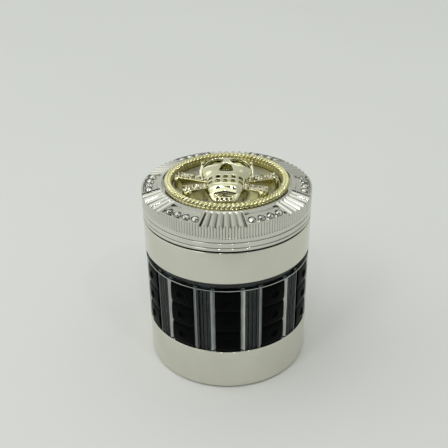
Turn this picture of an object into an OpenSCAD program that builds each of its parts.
// Hand grinder in four screw-together stages: a rhinestone lid with a skull and
// crossbones emblem, a toothed tray, a windowed sieve chamber and a catcher cup.
// Millimetres, +Z up, the middle of the foot at the origin, front towards -Y.

/* [Body] */
// Outer diameter of the metal stages
body_d = 63; // [62:0.5:66]
// Height of the catcher cup
cup_h = 17.2; // [16:0.1:24]
// Height of the windowed sieve chamber
window_h = 30.3; // [27:0.1:38]
// Height of the tray's plain band
tray_h = 12.5; // [12:0.1:14]
// Height of the dark joint line between tray and lid
joint_h = 0.7; // [0.5:0.1:0.9]
// Height of the lid from the joint line to its bevel's outer edge
lid_h = 10; // [9.5:0.1:12]
// Height of the foot chamfer
foot_chamfer = 0.7; // [0.3:0.1:1]

/* [Lid] */
// Number of reeds around the lid's rim
reed_count = 190; // [150:2:220]
// Number of fluted sectors, with a crystal panel between each two
sector_count = 6; // [4:1:6]
// Radial flutes in each sector
flutes_per_sector = 6; // [4:1:6]
// Crystals in each panel
stones_per_panel = 4; // [2:1:4]
// Crystal diameter
stone_d = 2.9; // [2:0.1:3]
// Turn of the lid's pattern about the axis, in degrees
lid_turn = -2.6; // [-30:0.1:30]

/* [Emblem] */
// Outer diameter of the gold rope ring
ring_d = 46.3; // [45:0.1:46.6]
// Width of the rope ring
ring_w = 2.85; // [2.4:0.05:3]
// Height of the rope ring above its well
ring_h = 3.9; // [3.4:0.1:4.6]
// Height of the skull above the backing plate
skull_h = 8.4; // [8:0.1:9.4]
// Width of each bone
bone_w = 4.2; // [3.6:0.1:4.4]
// Height of each bone above the backing plate
bone_h = 4.35; // [4:0.05:4.9]

/* [Window] */
// Number of rubber tread pads around the window
pad_count = 11; // [11:1:11]
// Width of each pad, in degrees
pad_angle = 17.3; // [14:0.1:19]
// Tread blocks in each pad
blocks_per_pad = 3; // [2:1:4]
// Height that the pads and flutes stand proud of the clear tube
pad_proud = 1.35; // [1:0.05:1.5]
// Wall of the clear tube
window_wall = 2.25; // [2:0.05:2.5]
// Height of the bare collar left above the pads
bare_collar_h = 3.1; // [2:0.1:4]

/* [Grinding] */
// Radial step between a lid row and a tray row of teeth
row_step = 3; // [2.9:0.05:3]
// Radius of the innermost lid row
first_row_r = 8.5; // [8.3:0.1:8.7]
// Diameter of the holes that the ground herbs fall through
drop_hole_d = 3.2; // [2:0.1:3.3]
// Radial clearance between thread crests
thread_clearance = 0.1; // [0.06:0.01:0.15]

/* [Hidden] */
$fn = 64;
TREADS = [for (i = [1:pad_count]) str("tread_pad_", i < 10 ? "0" : "", i)];

body_r = body_d / 2;
gasket_h = 0.3;

// Levels, from the foot up
window_z0 = cup_h + gasket_h;
window_z1 = cup_h + window_h - gasket_h;
tray_z0 = cup_h + window_h;
tray_z1 = tray_z0 + tray_h;
lid_z0 = tray_z1 + joint_h;
lid_z1 = lid_z0 + lid_h;
pad_z1 = tray_z0 - bare_collar_h;
floor_z0 = tray_z0 + 1;
floor_z1 = floor_z0 + 2.5;
ceiling_z = lid_z0 + 6.8;                       // underside of the lid's plate
well_z = lid_z1 - 0.5;                          // floor of the emblem's well
plate_z = well_z + 0.4;                         // face of the emblem's backing plate

// Radii
cup_r = body_r - 0.1;
cup_in_r = body_r - 3.3;
window_r = body_r - pad_proud;
window_in_r = window_r - window_wall;
cup_crest_r = cup_in_r - 0.65;
chamber_crest_r = cup_crest_r - thread_clearance;
chamber_root_r = chamber_crest_r - 0.55;
collar_bore_r = body_r - 5.1;
collar_crest_r = collar_bore_r - 0.45;
tray_crest_r = collar_crest_r - thread_clearance;
tray_root_r = tray_crest_r - 0.55;
skirt_wall = 1.5;
sieve_r = body_r - 4.9;
sieve_ledge_r = body_r - 6.7;
sieve_z = window_z0 + 2.5;
sieve_t = 0.25;
glide_r = body_r - 2.5;
glide_wall = 0.7;
spigot_r = glide_r - glide_wall - 0.1;
spigot_in_r = spigot_r - 1.6;
tray_in_r = body_r - 4;
shoulder_z = floor_z1 + 3.5;                    // ledge under the glide ring
bevel_in_r = 0.75 * body_r;
bevel_h = 1.75;
post_r = 6;
post_z = lid_z0 - 2.5;                          // top of the tray's magnet post
boss_r = 5;
boss_z = post_z + 0.5;                          // underside of the lid's magnet boss
magnet_r = 4;
magnet_h = 2;

// Threads: parallel ridges, three a thread
ridge_pitch = 1.5;
ridge_count = 3;
ridge_half = 0.5;

// Pattern of the lid's bevel
sector_step = 360 / sector_count;
flute_sector_angle = 28.5 * 6 / sector_count;
panel_angle = (sector_step - flute_sector_angle) * 0.89;
panel_in_r = bevel_in_r + 1.5;
panel_out_r = body_r - 0.8;
panel_depth = 0.55;
stone_r = 0.5 * stone_d;
stone_ring_r = 0.912 * body_r;
stone_step = 7;                                 // degrees between crystals
bevel_slope = atan(bevel_h / (body_r - bevel_in_r));

// Emblem, in its own plane: X across, Y towards the crown
bone_cross_y = -6.9;
bone_tilt = 20;
bone_half_len = 18.3;
bone_mid_x = 2;                                 // each bone's middle, along it from the crossing
pave_d = 1.05;
face_lift = 1.4;                                // straight foot of the skull under its rounded face

function bevel_z(r) = lid_z1 + bevel_h * (body_r - r) / (body_r - bevel_in_r);

// Ridge outline from the bottom up: root, crest, root for each ridge
function ridges(root_r, crest_r, z) = [for (i = [0:ridge_count - 1]) for (k = [-1:1])
    [k == 0 ? crest_r : root_r, z + i * ridge_pitch + k * ridge_half]];
function reversed(list) = [for (i = [len(list) - 1:-1:0]) list[i]];

// Quarter round from an outer wall into a floor, turning inwards
function corner(r, z, radius) = [for (a = [0:15:90])
    [r - radius + radius * cos(a), z + radius - radius * sin(a)]];

module ring(r_out, r_in, z0, z1) {
    rotate_extrude() polygon([[r_in, z0], [r_out, z0], [r_out, z1], [r_in, z1]]);
}

module diamond_teeth(r, count, z0, z1, half_w = 1.15, half_l = 1.9) {
    for (i = [0:count - 1]) rotate([0, 0, i * 360 / count]) translate([r, 0, z0])
        linear_extrude(z1 - z0) polygon([[-half_w, 0], [0, -half_l], [half_w, 0], [0, half_l]]);
}

module drop_holes(r, count) {
    for (i = [0:count - 1]) rotate([0, 0, (i + 0.5) * 360 / count]) translate([r, 0, floor_z0 - 1])
        cylinder(d = drop_hole_d, h = floor_z1 - floor_z0 + 2, $fn = 32);
}

// --- Catcher cup ---

module catcher_cup() {
    color("silver") rotate_extrude() polygon(concat(
        [[0, 0], [cup_r - foot_chamfer, 0], [cup_r, foot_chamfer], [cup_r, cup_h]],
        [[cup_in_r, cup_h]],
        reversed(ridges(cup_in_r, cup_crest_r, cup_h - 3.65)),
        corner(cup_in_r, 2, 3),
        [[0, 2]]));
}

module lower_gasket() {
    color("dimgray") ring(window_r - 0.15, cup_in_r + 0.1, cup_h, window_z0);
}

// --- Windowed sieve chamber ---

// Clear tube with four round flutes in each strip between two pads
module window_ring() {
    flute_step = 3.8;
    flute_r = 1;
    color([0.35, 0.45, 0.48, 0.6]) union() {
        ring(window_r, window_in_r, window_z0, window_z1);
        translate([0, 0, window_z0]) linear_extrude(pad_z1 - window_z0) difference() {
            union() for (i = [0:pad_count - 1]) for (k = [-1.5:1:1.5])
                rotate(-90 + (i + 0.5) * 360 / pad_count + k * flute_step)
                    translate([window_r - 0.05, 0]) circle(flute_r, $fn = 32);
            circle(window_r - 0.3);
        }
    }
}

// Metal collar in the foot of the tube: male thread below, seat for the sieve above
module lower_collar() {
    color("silver") rotate_extrude() polygon(concat(
        [[chamber_root_r - skirt_wall, cup_h - 5.7], [chamber_root_r, cup_h - 5.7]],
        ridges(chamber_root_r, chamber_crest_r, cup_h - 4.4),
        [[chamber_root_r, window_z0], [window_in_r, window_z0], [window_in_r, window_z0 + 5.5],
         [sieve_r, window_z0 + 5.5], [sieve_r, sieve_z], [sieve_ledge_r, sieve_z],
         [sieve_ledge_r, window_z0 + 1], [chamber_root_r - skirt_wall, window_z0]]));
}

module sieve_mesh() {
    bar_w = 0.5;
    bar_step = 3.2;
    bar_n = ceil(sieve_r / bar_step);
    color("gray") translate([0, 0, sieve_z]) linear_extrude(sieve_t) {
        difference() {
            circle(sieve_r - 0.1);
            circle(sieve_ledge_r - 0.2);
        }
        intersection() {
            circle(sieve_ledge_r);
            union() for (i = [-bar_n:bar_n]) {
                translate([i * bar_step - bar_w / 2, -sieve_r]) square([bar_w, 2 * sieve_r]);
                translate([-sieve_r, i * bar_step - bar_w / 2]) square([2 * sieve_r, bar_w]);
            }
        }
    }
}

module sieve_retainer() {
    color("silver") ring(sieve_r - 0.05, sieve_ledge_r + 0.1, sieve_z + sieve_t, sieve_z + 2.5);
}

// Metal collar in the top of the tube, with the female thread for the tray
module upper_collar() {
    color("silver") rotate_extrude() polygon(concat(
        [[window_in_r, window_z1 - 6.7], [window_in_r, window_z1], [collar_bore_r, window_z1]],
        reversed(ridges(collar_bore_r, collar_crest_r, window_z1 - 4.4)),
        [[collar_bore_r, window_z1 - 6.7]]));
}

// Rubber pad: blocks with a convex face, a groove between each two, a dimple in each
module tread_pad(i) {
    block_h = (pad_z1 - window_z0) / blocks_per_pad;
    groove_r = window_r + pad_proud * 0.55;
    shoulder_r = body_r - 0.2;
    dimple_r = 2.2;
    face = [for (b = [0:blocks_per_pad - 1]) for (p = [[0, groove_r], [0.07, shoulder_r],
        [0.3, body_r], [0.7, body_r], [0.93, shoulder_r], [1, groove_r]])
        [p[1], window_z0 + (b + p[0]) * block_h]];
    color([0.06, 0.06, 0.07]) rotate([0, 0, -90 + (i - 1) * 360 / pad_count]) difference() {
        rotate([0, 0, -pad_angle / 2]) rotate_extrude(angle = pad_angle)
            polygon(concat([[window_r, window_z0]], face, [[window_r, pad_z1]]));
        for (b = [0:blocks_per_pad - 1])
            translate([body_r + dimple_r - 0.7, 0, window_z0 + (b + 0.5) * block_h])
                sphere(dimple_r, $fn = 32);
    }
}

// --- Toothed tray ---

module upper_gasket() {
    color("dimgray") ring(window_r - 0.15, window_in_r + 0.2, window_z1, tray_z0);
}

module tray_shell() {
    skirt_z = tray_z0 - 6.5;
    color("silver") difference() {
        union() {
            rotate_extrude() polygon(concat(
                [[0, floor_z0], [tray_root_r - skirt_wall, floor_z0],
                 [tray_root_r - skirt_wall, skirt_z], [tray_root_r, skirt_z]],
                ridges(tray_root_r, tray_crest_r, skirt_z + 1.2),
                [[tray_root_r, tray_z0], [body_r - 0.2, tray_z0], [body_r, tray_z0 + 0.2],
                 [body_r, tray_z1 - 0.25], [body_r - 0.25, tray_z1], [glide_r + 0.05, tray_z1],
                 [glide_r + 0.05, shoulder_z], [tray_in_r, shoulder_z], [tray_in_r, floor_z1],
                 [post_r, floor_z1], [post_r, post_z], [magnet_r, post_z],
                 [magnet_r, post_z - magnet_h], [0, post_z - magnet_h]]));
            for (row = [0:2]) diamond_teeth(first_row_r + (2 * row + 1) * row_step,
                8 + 4 * row, floor_z1 - 0.5, ceiling_z - 4);
        }
        drop_holes(first_row_r, 6);
        drop_holes(first_row_r + 2 * row_step, 12);
        drop_holes(first_row_r + 4 * row_step, 18);
    }
}

module tray_magnet() {
    color("gray") translate([0, 0, post_z - magnet_h]) cylinder(r = magnet_r - 0.05, h = magnet_h);
}

// Nylon ring that the lid turns on: a thin wall around the lid's spigot, a flange at the joint
module glide_ring() {
    inner_r = glide_r - glide_wall;
    color("black") rotate_extrude() polygon([[inner_r, shoulder_z + 0.3], [glide_r, shoulder_z + 0.3],
        [glide_r, tray_z1], [body_r - 0.9, tray_z1], [body_r - 0.9, lid_z0], [inner_r, lid_z0]]);
}

// --- Lid ---

module lid_teeth() {
    for (row = [0:2]) diamond_teeth(first_row_r + 2 * row * row_step, 6 + 4 * row,
        floor_z1 + 1.5, ceiling_z + 0.5);
}

// V grooves that leave fine vertical reeds around the lid's rim
module reed_cuts(z0, z1, depth = 0.3, land = 0.08) {
    translate([0, 0, z0]) linear_extrude(z1 - z0) difference() {
        circle(body_r + 1);
        polygon([for (i = [0:2 * reed_count - 1])
            let (r = i % 2 == 0 ? body_r + land : body_r - depth, a = i * 180 / reed_count)
            [r * cos(a), r * sin(a)]]);
    }
}

// One radial V groove of a fluted sector, along the bevel
module flute_cut(angle) {
    rotate([0, 0, angle]) translate([bevel_in_r + 0.8, 0, bevel_z(bevel_in_r + 0.8)])
        rotate([0, 90 + bevel_slope, 0]) linear_extrude(12)
            polygon([[0.65, 0], [-1, -1.45], [-1, 1.45]]);
}

module panel_cut(angle) {
    rotate([0, 0, angle - panel_angle / 2]) rotate_extrude(angle = panel_angle)
        polygon([[panel_in_r, bevel_z(panel_in_r) - panel_depth],
                 [panel_out_r, bevel_z(panel_out_r) - panel_depth],
                 [panel_out_r, lid_z1 + 4], [panel_in_r, lid_z1 + 4]]);
}

module lid_shell() {
    groove_w = 0.4;
    line_z = [1.26, 3.34];                      // thin turned lines under the reeds
    lines = [for (z = line_z) for (p = [[0, -1], [0.3, -0.5], [0.3, 0.5], [0, 1]])
        [body_r - p[0], lid_z0 + z + p[1] * groove_w / 2]];
    color("silver") difference() {
        union() {
            rotate_extrude() polygon(concat(
                [[0, boss_z + magnet_h], [magnet_r, boss_z + magnet_h], [magnet_r, boss_z],
                 [boss_r, boss_z], [boss_r, ceiling_z], [spigot_in_r, ceiling_z],
                 [spigot_in_r, shoulder_z + 0.7], [spigot_r, shoulder_z + 0.7], [spigot_r, lid_z0],
                 [body_r - 0.2, lid_z0], [body_r, lid_z0 + 0.2]],
                lines,
                [[body_r, lid_z1], [bevel_in_r, lid_z1 + bevel_h], [bevel_in_r, well_z], [0, well_z]]));
            lid_teeth();
        }
        reed_cuts(lid_z0 + 4.9, lid_z1 + 0.35);
        rotate([0, 0, lid_turn - 90]) for (s = [0:sector_count - 1]) {
            for (k = [0:flutes_per_sector - 1]) flute_cut(s * sector_step
                + (k - (flutes_per_sector - 1) / 2) * flute_sector_angle / flutes_per_sector);
            panel_cut((s + 0.5) * sector_step);
        }
    }
}

module lid_magnet() {
    color("gray") translate([0, 0, boss_z]) cylinder(r = magnet_r - 0.05, h = magnet_h);
}

// Round crystals, four in each framed panel, set square to the bevel
module rim_stones() {
    seat_z = bevel_z(stone_ring_r) - panel_depth;
    color("white") rotate([0, 0, lid_turn - 90]) for (s = [0:sector_count - 1])
        for (k = [0:stones_per_panel - 1])
            rotate([0, 0, (s + 0.5) * sector_step + (k - (stones_per_panel - 1) / 2) * stone_step])
                translate([stone_ring_r, 0, seat_z]) rotate([0, bevel_slope, 0]) {
                    cylinder(r = stone_r, h = 0.4, $fn = 24);
                    translate([0, 0, 0.4]) cylinder(r1 = stone_r, r2 = 0.55 * stone_r, h = 0.5, $fn = 24);
                }
}

// --- Emblem: backing plate, rope ring, crossbones, skull ---

module emblem_plate() {
    color("darkgray") translate([0, 0, well_z])
        cylinder(r = ring_d / 2 - ring_w - 0.05, h = plate_z - well_z);
}

module emblem_ring() {
    r_out = ring_d / 2;
    r_mid = r_out - ring_w / 2;
    top_z = well_z + ring_h;
    color("gold") rotate_extrude() polygon([[r_out - ring_w, well_z], [r_out, well_z],
        [r_out, top_z - 0.9], [r_out - 0.4, top_z - 0.25], [r_mid + 0.35, top_z],
        [r_mid - 0.35, top_z], [r_out - ring_w + 0.4, top_z - 0.25], [r_out - ring_w, top_z - 0.9]]);
}

// Plan of one bone, along X: a bar with two round knuckles at each end
module bone_plan(grow = 0) {
    half = bone_half_len - bone_w * 0.6;
    translate([bone_mid_x, 0]) {
        translate([-half, -bone_w / 2 - grow]) square([2 * half, bone_w + 2 * grow]);
        for (x = [-half, half], y = [-1, 1])
            translate([x, y * bone_w * 0.3]) circle(bone_w * 0.5 + grow, $fn = 32);
    }
}

module bones_plan(grow = 0) {
    translate([0, bone_cross_y]) {
        rotate(bone_tilt) bone_plan(grow);
        mirror([1, 0]) rotate(bone_tilt) bone_plan(grow);
    }
}

module crossbones() {
    color("gold") translate([0, 0, plate_z]) rotate([0, 0, lid_turn])
        linear_extrude(bone_h) bones_plan();
}

// Three rows of small crystals along each arm, clear of the skull
module bone_stones() {
    row_y = 1.2;
    step = 1.3;
    color("white") translate([0, 0, plate_z + bone_h]) rotate([0, 0, lid_turn])
        translate([0, bone_cross_y]) for (flip = [0, 1]) mirror([flip, 0, 0]) rotate([0, 0, bone_tilt])
            for (x = concat([for (k = [0:5]) bone_mid_x + bone_half_len - 2 - k * step],
                            [for (k = [0:3]) bone_mid_x - bone_half_len + 2 + k * step]))
                for (y = [-row_y, 0, row_y])
                    translate([x, y, 0]) cylinder(r1 = pave_d / 2, r2 = pave_d / 4, h = 0.4, $fn = 24);
}

// Upright pill: a ball at z and a second one face_lift above it
module ball(x, y, z, r) {
    for (lift = [0, face_lift]) translate([x, y, z + lift]) sphere(r, $fn = 32);
}

// Round-cornered pocket from a little above the plate up through the face
module pocket(points, r, z0) {
    hull() for (p = points) translate([p[0], p[1], z0]) cylinder(r = r, h = 12, $fn = 20);
}

module skull_form() {
    hull() for (x = [-2.6, 2.6]) {
        ball(x, 3.2, skull_h - 7.2 - face_lift, 7.2);
    }
    hull() for (x = [-7.4, 7.4]) {
        ball(x, -1.2, 1.4, 2.4);
        ball(x * 0.62, -3, 3.2, 2.6);
    }
    hull() for (x = [-1, 1]) {
        ball(3.6 * x, -4.5, 2, 3.4);
        ball(3.2 * x, -12, 1.6, 3.2);
    }
    hull() for (x = [-2.6, 2.6]) {
        ball(x, -15.2, 1.4, 2.7);
        ball(0.6 * x, -17, 1, 2.1);
    }
}

module skull() {
    tooth_w = 1.5;
    tooth_step = 2.25;
    tooth_y = [-10.4, -7.5];
    color("gold") translate([0, 0, plate_z]) rotate([0, 0, lid_turn]) difference() {
        intersection() {
            skull_form();
            translate([-15, -25, 0]) cube([30, 50, skull_h]);
        }
        translate([0, 0, -1]) linear_extrude(bone_h + 1.05) bones_plan(0.05);
        for (s = [-1, 1]) pocket([[2.6 * s, 3.4], [6.8 * s, 2.4], [6 * s, 4.2]], 1.5, 4.8);
        translate([0, 0, 4.8]) linear_extrude(9) polygon([[-2, -2.9], [2, -2.9], [0, 0.8]]);
        for (x = [-2:2], y = tooth_y)
            translate([x * tooth_step - tooth_w / 2, y, 4.8]) cube([tooth_w, 2.1, 9]);
        for (x = [-1.5:1.5])
            translate([x * 1.6 - 0.5, -18.3, 3.7]) cube([1, 1.2, 9]);
    }
}

catcher_cup();
lower_gasket();
window_ring();
lower_collar();
sieve_mesh();
sieve_retainer();
upper_collar();
for (i = [1:pad_count]) tread_pad(i);
upper_gasket();
tray_shell();
tray_magnet();
glide_ring();
lid_shell();
lid_magnet();
emblem_plate();
emblem_ring();
crossbones();
skull();
bone_stones();
rim_stones();
